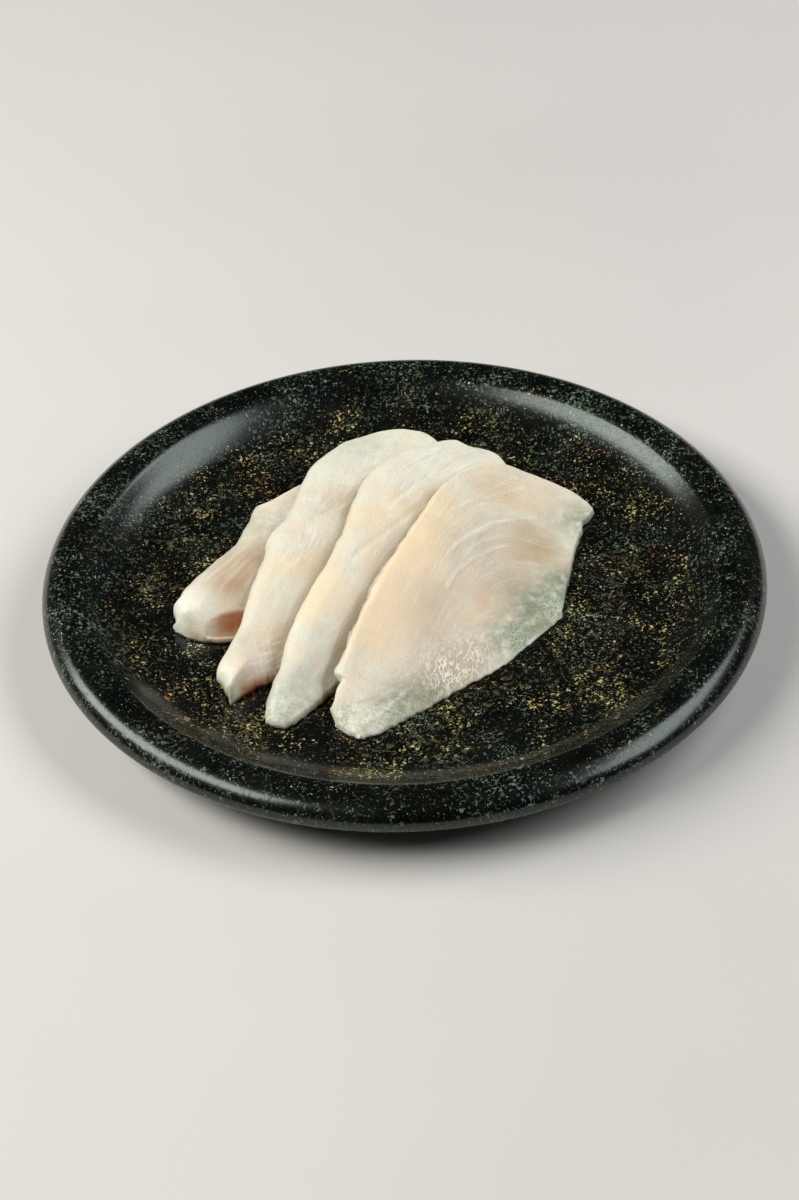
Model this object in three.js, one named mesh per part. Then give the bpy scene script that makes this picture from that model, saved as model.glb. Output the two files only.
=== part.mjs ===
// A turned stone plate with four overlapping slices of raw white fish.
//
// Millimetres, +Z up. The origin is the centre of the plate's flat underside; -Y is the
// diner's side. The plate is a solid of revolution. Each slice is a soft sheet, cut to its own
// outline, that lies on the dish floor and on the slices put down before it.

import * as THREE from "three";

// ---------------------------------------------------------------- driving dimensions

const PLATE = {
  radius: 75, // outermost point of the rounded edge
  height: 14, // crest of the rim above the table
  floorHeight: 7.5, // top of the dish floor above the table
  shoulderRadius: 5, // upper part of the round outer edge
  shoulderTurn: 60, // degrees, how far the shoulder turns down
  edgeRadius: 2.5, // lower part of the round outer edge
  crownWidth: 3.3, // gently sloping part of the rim, from the crest inwards
  crownSlope: 12, // degrees, where the crown meets the inner lip
  lipRadius: 4, // round inner lip
  wallSlope: 42, // degrees, steepest part of the dish wall
  filletRadius: 16, // dish wall into dish floor
  undercut: 60, // degrees, how far the round edge turns under
  footRadius: 58, // flat base
  footRound: 2, // base edge
  segments: 72,
};

const LAYING = {
  gap: 0.3, // air left between touching pieces
  cell: 1, // spacing of the height grid
  reach: 56, // half the side of the height grid
  load: 0.018, // how firmly a slice sags, mm of drop per relaxation step
  steps: 1200, // relaxation steps
  softening: 40, // averaging steps that keep the upper face smooth over lumps below
};

// A slice thins from its left side towards its right side over this stretch of its width.
const THINNING = { start: 0.12, end: 1.05 };

// The sloping front edge: share of the thickness in its blunt outermost part, how far that
// reaches inwards, and how soft the turn into the full thickness is.
const FRONT = { blunt: 0.18, bluntDepth: 0.8, knee: 0.4 };

const MESH = { along: 41, across: 15, edgeCrowding: 0.55 };

const FISH = new THREE.MeshStandardMaterial({
  name: "fish_flesh",
  color: 0xe9dcc4,
  roughness: 0.45,
  metalness: 0,
});
const STONE = new THREE.MeshStandardMaterial({
  name: "polished_stone",
  color: 0x1c211b,
  roughness: 0.2,
  metalness: 0,
});

// Outlines are seen from above. left and right run from the front end to the back end,
// front and back run from left to right, and neighbouring sides share their corner.
// thick: [front left, back left, right side]. curl: how far the left edge curls up off what
// it lies on. round: how far in the left, right and back edges are rounded. slope: how far
// in the front edge slopes, at its left end and further right, and the shares of the width
// between which it widens from the first value to the second. swell: a broad low rise of the
// upper face, which fades out over the outermost millimetres.
const SLICES = [
  {
    name: "slice_1",
    left: [[-46.5, -13], [-47.5, -6.5], [-44.5, -0.5], [-40, 6], [-35.5, 12.5], [-31, 26]],
    front: [[-46.5, -13], [-43.5, -15], [-37, -16.5], [-18, -13], [-10, -4]],
    right: [[-10, -4], [-5, 10], [-2, 22], [-3, 33]],
    back: [[-31, 26], [-27.5, 27.5], [-20, 34], [-12, 36], [-3, 33]],
    thick: [6.5, 3, 1.4],
    curl: 1.3,
    round: { left: 6, right: 1.5, back: 1.2 },
    slope: { narrow: 2, wide: 7, from: 0, to: 0.3 },
    // The folded front end gapes under an arch. from, to and cheek are measured along the
    // front edge, lipEnd, hollowStart and depth inwards from it, lip and hollow are
    // thicknesses, and wall is the share of the depth where the wall under the arch starts.
    gape: { from: 7, to: 27, cheek: 6, lip: 1.5, hollow: 1.1, lipEnd: 0.6, hollowStart: 1.5,
      wall: 0.35, depth: 4.5 },
  },
  {
    name: "slice_2",
    left: [[-35.5, -35.5], [-37, -32], [-38.5, -28.5], [-37, -24.5], [-34, -17.5],
      [-32, -10.5], [-29, 1], [-28, 8.5], [-24.5, 15.5], [-19.5, 34], [-13, 45]],
    front: [[-35.5, -35.5], [-31.5, -32], [-28, -30], [-12, -22], [3, -8]],
    right: [[3, -8], [9, 8], [14, 22], [15, 34]],
    back: [[-13, 45], [-6.5, 48.5], [-2, 50.5], [3.5, 51], [9, 47.5], [15, 34]],
    thick: [5.8, 3.6, 1.2],
    curl: 1.3,
    round: { left: 6, right: 1.5, back: 1.4 },
    slope: { narrow: 0.8, wide: 7, from: 0, to: 0.3 },
  },
  {
    name: "slice_3",
    left: [[-28.5, -41.5], [-28.5, -37.5], [-25, -28.5], [-24, -24.5], [-21, -16.5], [-17, -8],
      [-12.5, 5.5], [-9, 20.5], [-5.5, 29], [0.5, 36], [8.5, 40.5]],
    front: [[-28.5, -41.5], [-24.5, -43], [-18, -37], [-15, -33.5], [0, -18], [17, -6]],
    right: [[17, -6], [23, 6], [27, 16], [28, 24]],
    back: [[8.5, 40.5], [13.5, 42], [16.5, 40.5], [23, 39], [28, 24]],
    thick: [5.8, 3.8, 1.2],
    curl: 1.5,
    round: { left: 6, right: 1.5, back: 1.4 },
    slope: { narrow: 10, wide: 14, from: 0, to: 0.25 },
  },
  {
    name: "slice_4",
    left: [[-14.5, -44], [-15.5, -40.5], [-14.5, -37], [-13.5, -35], [-14.5, -33.5],
      [-13, -30], [-8.5, -19], [1, 2.5], [8.5, 20], [15.5, 28]],
    front: [[-14.5, -44], [-10, -47], [-3, -44], [9, -35], [18, -28.5], [27, -19],
      [32, -13.5]],
    right: [[32, -13.5], [33, -8], [37, 10], [41.5, 20.5]],
    back: [[15.5, 28], [22.5, 31], [28, 30], [33.5, 28.5], [39, 25], [41.5, 20.5]],
    thick: [3.8, 3.4, 1.3],
    curl: 1.6,
    round: { left: 3.5, right: 1.2, back: 1.2 },
    slope: { narrow: 6, wide: 11, from: 0, to: 0.4 },
    swell: { x: 10, y: -5, radius: 14, height: 2.2, fade: 3 },
  },
];

// ---------------------------------------------------------------- small helpers

const radians = THREE.MathUtils.degToRad;
const lerp = THREE.MathUtils.lerp;
const smoothstep = THREE.MathUtils.smoothstep;

// Points of an arc in the (r, z) plane. Angles in degrees, 0 pointing outwards, 90 up.
function arc(centreR, centreZ, radius, from, to, pieces) {
  return Array.from({ length: pieces + 1 }, (_, i) => {
    const angle = radians(lerp(from, to, i / pieces));
    return new THREE.Vector2(
      centreR + radius * Math.cos(angle),
      centreZ + radius * Math.sin(angle),
    );
  });
}

// A quarter circle that rises from 0 at the edge to 1 at a depth of one radius.
function quarterRound(depth, radius) {
  const short = 1 - Math.min(Math.max(depth / radius, 0), 1);
  return Math.sqrt(1 - short * short);
}

// A bevel that rises from 0 at the edge and eases into 1 at its full width.
function bevel(depth, width) {
  return Math.sin(0.5 * Math.PI * Math.min(Math.max(depth / width, 0), 1));
}

// A slope that rises evenly from a small blunt edge and turns softly into 1.
function slopeRise(depth, width) {
  const t = Math.max(depth / width, 0);
  const rise = (t + 1 - Math.hypot(t - 1, FRONT.knee)) / 2;
  const start = (1 - Math.hypot(1, FRONT.knee)) / 2;
  const even = (rise - start) / (1 - start);
  return lerp(FRONT.blunt * quarterRound(depth, FRONT.bluntDepth), 1, even);
}

// Even spacing, crowded towards both ends.
function crowded(i, count) {
  const t = i / count;
  const crowd = 0.5 - 0.5 * Math.cos(Math.PI * t);
  return lerp(t, crowd, MESH.edgeCrowding);
}

// ---------------------------------------------------------------- plate

// The closed section, from the axis outwards over the top and back along the underside.
function plateSection() {
  const p = PLATE;
  const edgeR = p.radius - p.edgeRadius;
  const tighter = p.shoulderRadius - p.edgeRadius;
  const shoulderR = edgeR - tighter * Math.sin(radians(p.shoulderTurn));
  const shoulderZ = p.height - p.shoulderRadius;
  const edgeZ = shoulderZ + tighter * Math.cos(radians(p.shoulderTurn));
  const crownRadius = p.crownWidth / Math.sin(radians(p.crownSlope));
  const crown = arc(shoulderR, p.height - crownRadius, crownRadius, 90 + p.crownSlope, 90, 3);
  const lipStart = crown[0];
  const lipTurn = radians(p.crownSlope);
  const lip = arc(
    lipStart.x + p.lipRadius * Math.sin(lipTurn),
    lipStart.y - p.lipRadius * Math.cos(lipTurn),
    p.lipRadius, 90 + p.wallSlope, 90 + p.crownSlope, 4,
  );
  const wallFoot = p.floorHeight + p.filletRadius * (1 - Math.cos(radians(p.wallSlope)));
  const wallRun = (lip[0].y - wallFoot) / Math.tan(radians(p.wallSlope));
  const floorRadius = lip[0].x - wallRun - p.filletRadius * Math.sin(radians(p.wallSlope));
  const fillet = arc(
    floorRadius, p.floorHeight + p.filletRadius, p.filletRadius, -90, -90 + p.wallSlope, 6,
  );
  const shoulder = arc(shoulderR, shoulderZ, p.shoulderRadius, 90, 90 - p.shoulderTurn, 4);
  const edge = arc(edgeR, edgeZ, p.edgeRadius, 90 - p.shoulderTurn, -p.undercut, 5);
  const foot = arc(p.footRadius, p.footRound, p.footRound, -90 + 50, -90, 3);
  return [
    new THREE.Vector2(0, p.floorHeight),
    ...fillet, ...lip, ...crown.slice(1), ...shoulder.slice(1), ...edge.slice(1), ...foot,
    new THREE.Vector2(0, 0),
  ];
}

function plateMesh() {
  const geometry = new THREE.LatheGeometry(plateSection().reverse(), PLATE.segments);
  geometry.rotateX(Math.PI / 2);
  return namedMesh("plate", geometry, STONE);
}

// ---------------------------------------------------------------- laying soft slices

// Heights above the table on a square grid of cells, read between cells by blending.
class HeightGrid {
  constructor(value) {
    this.side = Math.round((2 * LAYING.reach) / LAYING.cell) + 1;
    this.values = new Float64Array(this.side * this.side).fill(value);
  }

  column(x) {
    return (x + LAYING.reach) / LAYING.cell;
  }

  at(x, y) {
    const i = Math.floor(this.column(x));
    const j = Math.floor(this.column(y));
    const fx = this.column(x) - i;
    const fy = this.column(y) - j;
    const k = j * this.side + i;
    const near = lerp(this.values[k], this.values[k + 1], fx);
    const far = lerp(this.values[k + this.side], this.values[k + this.side + 1], fx);
    return lerp(near, far, fy);
  }

  // Raises the cells under one triangle to its surface.
  raise(a, b, c) {
    const area = (b[0] - a[0]) * (c[1] - a[1]) - (c[0] - a[0]) * (b[1] - a[1]);
    if (Math.abs(area) < 1e-9) return;
    const span = (axis) => {
      const all = [a[axis], b[axis], c[axis]].map((value) => this.column(value));
      return [Math.ceil(Math.min(...all)), Math.floor(Math.max(...all))];
    };
    const [i0, i1] = span(0);
    const [j0, j1] = span(1);
    for (let j = j0; j <= j1; j++) {
      for (let i = i0; i <= i1; i++) {
        const x = i * LAYING.cell - LAYING.reach;
        const y = j * LAYING.cell - LAYING.reach;
        const wb = ((x - a[0]) * (c[1] - a[1]) - (c[0] - a[0]) * (y - a[1])) / area;
        const wc = ((b[0] - a[0]) * (y - a[1]) - (x - a[0]) * (b[1] - a[1])) / area;
        if (wb < 0 || wc < 0 || wb + wc > 1) continue;
        const k = j * this.side + i;
        const z = a[2] + wb * (b[2] - a[2]) + wc * (c[2] - a[2]);
        this.values[k] = Math.max(this.values[k], z);
      }
    }
  }

  // Each cell takes the highest value around it.
  widened() {
    const out = new HeightGrid(0);
    const n = this.side;
    for (let j = 0; j < n; j++) {
      for (let i = 0; i < n; i++) {
        let top = -Infinity;
        for (let b = Math.max(j - 1, 0); b <= Math.min(j + 1, n - 1); b++) {
          for (let a = Math.max(i - 1, 0); a <= Math.min(i + 1, n - 1); a++) {
            top = Math.max(top, this.values[b * n + a]);
          }
        }
        out.values[j * n + i] = top;
      }
    }
    return out;
  }
}

// Relaxes a sheet over its covered cells: each step averages the neighbours, lowers the
// cell by load, and never lets it sink below the support. Its border cells hang free.
function relaxed(start, covered, steps, load, support) {
  const n = start.side;
  const cells = [];
  covered.values.forEach((value, k) => { if (value > 0) cells.push(k); });
  const neighbours = new Int32Array(cells.flatMap((k) => [k - 1, k + 1, k - n, k + n]
    .map((m) => (covered.values[m] > 0 ? m : k))));
  const sheet = new HeightGrid(0);
  sheet.values.set(start.values);
  const before = new Float64Array(start.values);
  for (let step = 0; step < steps; step++) {
    before.set(sheet.values);
    for (let c = 0; c < cells.length; c++) {
      let sum = 0;
      for (let m = 4 * c; m < 4 * c + 4; m++) sum += before[neighbours[m]];
      sheet.values[cells[c]] = Math.max(sum / 4 - load, support.values[cells[c]]);
    }
  }
  return sheet;
}

// ---------------------------------------------------------------- slices

function side(points) {
  const curve = new THREE.SplineCurve(points.map(([x, y]) => new THREE.Vector2(x, y)));
  return { at: (t) => curve.getPointAt(t), length: curve.getLength() };
}

// A patch spanned between the four sides: u runs front to back, v left to right.
function outlinePatch(slice) {
  const left = side(slice.left);
  const right = side(slice.right);
  const front = side(slice.front);
  const back = side(slice.back);
  const corners = [front.at(0), front.at(1), back.at(0), back.at(1)];
  const at = (u, v) => {
    const sum = new THREE.Vector2();
    sum.addScaledVector(left.at(u), 1 - v).addScaledVector(right.at(u), v);
    sum.addScaledVector(front.at(v), 1 - u).addScaledVector(back.at(v), u);
    sum.addScaledVector(corners[0], -(1 - u) * (1 - v));
    sum.addScaledVector(corners[1], -(1 - u) * v);
    sum.addScaledVector(corners[2], -u * (1 - v));
    sum.addScaledVector(corners[3], -u * v);
    return sum;
  };
  const length = (v) => lerp(left.length, right.length, v);
  const width = (u) => lerp(front.length, back.length, u);
  return { at, length, width };
}

// How far up its sloping front edge a place is.
function frontRise(slice, patch, u, v) {
  const { narrow, wide, from, to } = slice.slope;
  return slopeRise(u * patch.length(v), lerp(narrow, wide, smoothstep(v, from, to)));
}

function thicknessAt(slice, patch, u, v) {
  const [frontLeft, backLeft, rightSide] = slice.thick;
  const r = slice.round;
  const leftSide = lerp(frontLeft, backLeft, smoothstep(u, 0, 1));
  const full = lerp(leftSide, rightSide, smoothstep(v, THINNING.start, THINNING.end));
  const rounded = full
    * quarterRound(v * patch.width(u), r.left)
    * bevel((1 - v) * patch.width(u), r.right)
    * frontRise(slice, patch, u, v)
    * bevel((1 - u) * patch.length(v), r.back);
  if (!slice.gape) return rounded;
  return gaping(slice.gape, rounded, v * patch.width(0), u * patch.length(v));
}

// A front end that gapes: a low lip at the edge, a hollow behind it, and a wall that rises
// to the full thickness under an arch.
function gaping(gape, full, along, inwards) {
  const arch = quarterRound(along - gape.from, gape.cheek)
    * quarterRound(gape.to - along, gape.cheek);
  const lip = Math.min(full, gape.lip);
  const hollow = Math.min(full, gape.hollow);
  const mouth = lerp(lip, hollow, smoothstep(inwards, gape.lipEnd, gape.hollowStart));
  const share = inwards / Math.max(gape.depth * arch, 0.01);
  return lerp(mouth, full, smoothstep(share, gape.wall, 1));
}

function swellAt(slice, patch, u, v, x, y) {
  if (!slice.swell) return 0;
  const { radius, height, fade } = slice.swell;
  const away = Math.hypot(x - slice.swell.x, y - slice.swell.y) / radius;
  const toSides = Math.min(v, 1 - v) * patch.width(u);
  const toEnds = Math.min(u, 1 - u) * patch.length(v);
  return height * Math.exp(-away * away) * bevel(Math.min(toSides, toEnds), fade);
}

function sliceMesh(slice, laid) {
  const patch = outlinePatch(slice);
  const { along, across } = MESH;
  const rows = Array.from({ length: along + 1 }, (_, i) => crowded(i, along));
  const columns = Array.from({ length: across + 1 }, (_, j) => crowded(j, across));
  const plan = rows.map((u) => columns.map((v) => patch.at(u, v)));

  const quads = [];
  for (let i = 0; i < along; i++) {
    for (let j = 0; j < across; j++) {
      quads.push([[i, j], [i, j + 1], [i + 1, j + 1], [i + 1, j]]);
    }
  }
  const eachTriangle = (points, visit) => {
    for (const quad of quads) {
      const [a, b, c, d] = quad.map(([i, j]) => points[i][j]);
      visit(a, b, c);
      visit(a, c, d);
    }
  };

  const plotted = new HeightGrid(0);
  eachTriangle(plan.map((row) => row.map((p) => [p.x, p.y, 1])), (a, b, c) => plotted.raise(a, b, c));
  const covered = plotted.widened();
  const support = laid.widened().widened();
  support.values.forEach((value, k) => { support.values[k] = value + LAYING.gap; });
  const highest = new HeightGrid(Math.max(...support.values.filter((_, k) => covered.values[k] > 0)));
  const under = relaxed(highest, covered, LAYING.steps, LAYING.load, support);
  const over = relaxed(under, covered, LAYING.softening, 0, new HeightGrid(0));

  const bottom = [];
  const top = [];
  rows.forEach((u, i) => {
    bottom.push([]);
    top.push([]);
    columns.forEach((v, j) => {
      const { x, y } = plan[i][j];
      const outer = 1 - bevel(v * patch.width(u), slice.round.left);
      const lift = slice.curl * outer * frontRise(slice, patch, u, v);
      const low = under.at(x, y) + lift;
      const thick = thicknessAt(slice, patch, u, v) + swellAt(slice, patch, u, v, x, y);
      const high = over.at(x, y) + lift + thick;
      bottom[i].push([x, y, low]);
      top[i].push([x, y, Math.max(high, low)]);
    });
  });
  eachTriangle(top, (a, b, c) => laid.raise(a, b, c));
  return namedMesh(slice.name, shell(top, bottom), FISH);
}

// A closed surface from a top and a bottom grid that share their border.
function shell(top, bottom) {
  const rows = top.length;
  const columns = top[0].length;
  const positions = [];
  const number = (grid) => grid.map((row) => row.map((p) => positions.push(...p) / 3 - 1));
  const upper = number(top);
  const lower = number(bottom);
  for (let i = 0; i < rows; i++) {
    for (let j = 0; j < columns; j++) {
      const border = i === 0 || j === 0 || i === rows - 1 || j === columns - 1;
      if (border) lower[i][j] = upper[i][j];
    }
  }
  const index = [];
  for (let i = 0; i < rows - 1; i++) {
    for (let j = 0; j < columns - 1; j++) {
      const quad = (grid) => [grid[i][j], grid[i][j + 1], grid[i + 1][j + 1], grid[i + 1][j]];
      const [a, b, c, d] = quad(upper);
      index.push(a, b, c, a, c, d);
      const [e, f, g, h] = quad(lower);
      index.push(e, g, f, e, h, g);
    }
  }
  const geometry = new THREE.BufferGeometry();
  geometry.setAttribute("position", new THREE.Float32BufferAttribute(positions, 3));
  geometry.setIndex(index);
  geometry.computeVertexNormals();
  return geometry;
}

function namedMesh(name, geometry, material) {
  const mesh = new THREE.Mesh(geometry, material);
  mesh.name = name;
  return mesh;
}

// ---------------------------------------------------------------- the object

const object = new THREE.Group();
object.add(plateMesh());
const laid = new HeightGrid(PLATE.floorHeight);
for (const slice of SLICES) object.add(sliceMesh(slice, laid));

export default object;
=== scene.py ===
"""A turned granite plate with four overlapping slices of raw white fish.

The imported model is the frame: metres, +Z up, the origin under the middle of the plate, the
diner on the -Y side. The plate is turned again with a fine section, and each slice is laid
again, softly, on what lies under it, with the fibres, ragged edges and moist skin that the
faceted solids leave out.
"""

import logging
import math
from dataclasses import dataclass, field
from enum import Enum

import bpy
import numpy as np
from mathutils import Matrix, Vector


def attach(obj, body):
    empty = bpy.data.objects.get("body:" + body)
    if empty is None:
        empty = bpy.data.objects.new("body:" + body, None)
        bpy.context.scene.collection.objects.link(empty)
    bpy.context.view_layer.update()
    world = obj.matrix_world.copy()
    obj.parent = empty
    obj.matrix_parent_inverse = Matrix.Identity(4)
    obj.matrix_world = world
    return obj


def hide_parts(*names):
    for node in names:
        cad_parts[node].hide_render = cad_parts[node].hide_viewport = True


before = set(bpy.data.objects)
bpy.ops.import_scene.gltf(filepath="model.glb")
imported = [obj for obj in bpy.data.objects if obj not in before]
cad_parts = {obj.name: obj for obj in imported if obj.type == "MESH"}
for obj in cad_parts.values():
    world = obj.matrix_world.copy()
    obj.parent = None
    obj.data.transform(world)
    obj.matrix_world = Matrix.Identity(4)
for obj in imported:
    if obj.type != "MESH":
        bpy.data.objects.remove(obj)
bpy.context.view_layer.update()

LOG = logging.getLogger("sashimi_plate")
MM = 0.001
BODY = "root"

Points = tuple[tuple[float, float], ...]
Array = np.ndarray


class Slot(Enum):
    """The record's material slots."""

    STONE = "stone"
    FISH = "fish"


class Edge(Enum):
    """The sides of a slice's outline."""

    LEFT = "left"
    RIGHT = "right"
    FRONT = "front"
    BACK = "back"


class Tone(Enum):
    """The fields from 0 to 1 on a slice's mesh that say where the flesh is stained, and where
    shade and highlights are painted on it.
    """

    COOL = "cool"
    PEACH = "peach"
    MUSCLE = "muscle"
    # Tan flesh, and painted shade in valleys and on sides turned from the light.
    TAN = "tan"
    # Milky flesh, and a painted glint in one spot.
    MILKY_AND_GLINT = "milky"
    # Frosty torn flesh and strands, and a painted highlight along the cut rim.
    FROST_AND_GLINT = "frost"
    FIBROUS = "fibrous"
    WOOLLY = "woolly"
    RUST = "rust"


# ------------------------------------------------------------------ small helpers


def linear(hex_colour: str) -> tuple[float, float, float, float]:
    """Turns an sRGB hex colour to linear light.

    Args:
        hex_colour: Six hex digits, with or without a leading #.

    Returns:
        Red, green, blue and alpha, each from 0 to 1.
    """
    digits = hex_colour.lstrip("#")
    channels = [int(digits[i:i + 2], 16) / 255 for i in (0, 2, 4)]
    curve = [c / 12.92 if c <= 0.04045 else ((c + 0.055) / 1.055) ** 2.4 for c in channels]
    return (curve[0], curve[1], curve[2], 1.0)


def smoothstep(value: Array | float, low: float, high: float) -> Array:
    """Eases from 0 at low to 1 at high."""
    t = np.clip((np.asarray(value, float) - low) / (high - low), 0, 1)
    return t * t * (3 - 2 * t)


def mixed(a: Array | float, b: Array | float, share: Array | float) -> Array:
    """Blends from a at share 0 to b at share 1."""
    return np.asarray(a + (np.asarray(b) - a) * share)


def quarter_round(depth: Array, radius: float) -> Array:
    """A quarter circle that rises from 0 at the edge to 1 at a depth of one radius."""
    short = 1 - np.clip(depth / radius, 0, 1)
    return np.sqrt(1 - short * short)


def bevel(depth: Array, width: float) -> Array:
    """A bevel that rises from 0 at the edge and eases into 1 at its full width."""
    return np.sin(0.5 * math.pi * np.clip(depth / width, 0, 1))


def slope(depth: Array, width: Array, blunt: float = 0.18, blunt_depth: float = 0.8,
          knee: float = 0.4) -> Array:
    """A slope that rises evenly from a small blunt edge and turns softly into 1.

    Args:
        depth: Distance in from the edge.
        width: How far in the slope reaches.
        blunt: Share of the full height that the blunt edge has.
        blunt_depth: How far in the blunt edge is rounded.
        knee: How soft the turn is.

    Returns:
        The share of the full height.
    """
    t = np.maximum(depth / width, 0)
    start = (1 - math.hypot(1, knee)) / 2
    even = ((t + 1 - np.hypot(t - 1, knee)) / 2 - start) / (1 - start)
    return mixed(blunt * quarter_round(depth, blunt_depth), 1, even)


def crowded(count: int, crowding: float) -> Array:
    """Spaces count + 1 values from 0 to 1, crowded towards both ends."""
    t = np.linspace(0, 1, count + 1)
    return mixed(t, 0.5 - 0.5 * np.cos(math.pi * t), crowding)


def add(tree: bpy.types.NodeTree, kind: str, inputs: dict | None = None,
        ramp: list[tuple[float, str]] | None = None, **settings: object) -> bpy.types.Node:
    """Adds one shader node with its settings and links.

    Args:
        tree: The node tree that takes the node.
        kind: Blender's name for the node type.
        inputs: Values or sockets for its inputs, by name or number.
        ramp: Stops of a colour ramp, as place and hex colour.
        **settings: Properties of the node.

    Returns:
        The new node.
    """
    made = tree.nodes.new(kind)
    for name, value in settings.items():
        setattr(made, name, value)
    for key, value in (inputs or {}).items():
        if isinstance(value, bpy.types.NodeSocket):
            tree.links.new(value, made.inputs[key])
        else:
            made.inputs[key].default_value = value
    if ramp:
        stops = made.color_ramp.elements
        while len(stops) < len(ramp):
            stops.new(0.5)
        for stop, (place, colour) in zip(stops, ramp):
            stop.position = place
            stop.color = linear(colour)
    return made


def millimetres(tree: bpy.types.NodeTree) -> bpy.types.NodeSocket:
    """Reads where each point of the object is, in millimetres."""
    where = add(tree, "ShaderNodeTexCoord")
    return add(tree, "ShaderNodeVectorMath", {0: where.outputs["Object"], 3: 1 / MM},
               operation="SCALE").outputs[0]


def new_material(name: str) -> tuple[bpy.types.Material, bpy.types.NodeTree, bpy.types.Node]:
    """Makes a material to be dressed.

    Args:
        name: The material's name.

    Returns:
        The material, its node tree and its shader.
    """
    material = bpy.data.materials.new(name)
    material.use_nodes = True
    tree = material.node_tree
    return material, tree, tree.nodes["Principled BSDF"]


def mesh_piece(name: str, points: Array, faces: Array | list, material: bpy.types.Material,
               fields: dict[str, Array] | None = None) -> bpy.types.Object:
    """Makes a smooth-shaded mesh object from points in millimetres.

    Args:
        name: The object's name.
        points: One row of x, y and z for each vertex.
        faces: One row of vertex numbers for each face.
        material: Its material.
        fields: Named values that its material reads: a row of one or three for each vertex.

    Returns:
        The object, linked to the scene.
    """
    mesh = bpy.data.meshes.new(name)
    mesh.from_pydata((points * MM).tolist(), [], [list(face) for face in faces])
    mesh.polygons.foreach_set("use_smooth", np.ones(len(mesh.polygons), bool))
    for key, values in (fields or {}).items():
        kind, entry = ("FLOAT", "value") if values.shape[1] == 1 else ("FLOAT_VECTOR", "vector")
        mesh.attributes.new(key, kind, "POINT").data.foreach_set(entry, values.ravel())
    mesh.materials.append(material)
    mesh.update()
    piece = bpy.data.objects.new(name, mesh)
    bpy.context.scene.collection.objects.link(piece)
    return piece


class PlaneNoise:
    """Smooth seeded noise over a plane, from -1 to 1, with lumps about one unit across."""

    SIDE = 64

    def __init__(self, seed: int) -> None:
        """Draws the values at the lattice points."""
        self.table = np.random.default_rng(seed).uniform(-1, 1, (self.SIDE, self.SIDE))

    def at(self, x: Array, y: Array) -> Array:
        """Reads the noise.

        Args:
            x: First coordinates, in lumps.
            y: Second coordinates, in lumps.

        Returns:
            The noise at each place.
        """
        i = np.floor(x).astype(int)
        j = np.floor(y).astype(int)
        fx = smoothstep(x - i, 0, 1)
        fy = smoothstep(y - j, 0, 1)
        i, j = i % self.SIDE, j % self.SIDE
        i1, j1 = (i + 1) % self.SIDE, (j + 1) % self.SIDE
        near = mixed(self.table[i, j], self.table[i1, j], fx)
        far = mixed(self.table[i, j1], self.table[i1, j1], fx)
        return mixed(near, far, fy)


# ------------------------------------------------------------------ finishes


@dataclass(frozen=True)
class Pattern:
    """A noise in a material: the size of its lumps, and how rough, bent and stretched it is."""

    size_mm: float
    detail: float = 4.0
    roughness: float = 0.5
    distortion: float = 0.0
    stretch: tuple[float, float, float] = (1.0, 1.0, 1.0)

    def draw(self, tree: bpy.types.NodeTree,
             place: bpy.types.NodeSocket) -> bpy.types.NodeSocket:
        """Draws the pattern.

        Args:
            tree: The material's node tree.
            place: Where each point is, in millimetres.

        Returns:
            The noise, from 0 to 1.
        """
        stretched = add(tree, "ShaderNodeVectorMath", {0: place, 1: self.stretch},
                        operation="MULTIPLY")
        noise = add(tree, "ShaderNodeTexNoise",
                    {"Vector": stretched.outputs[0], "Scale": 1 / self.size_mm,
                     "Detail": self.detail, "Roughness": self.roughness,
                     "Distortion": self.distortion})
        return noise.outputs["Fac"]


@dataclass(frozen=True)
class Mineral:
    """One mineral: the size of its flakes, how they gather, where they show, and its tints.

    rim and dish are the noise levels above which it shows: the lower they are, the more of it.
    The tints go from a flake's edge to its core, and offset moves it away from other minerals.
    """

    size_mm: float
    cluster_mm: float
    rim: float
    dish: float
    tints: tuple[str, str, str]
    offset: float


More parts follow.
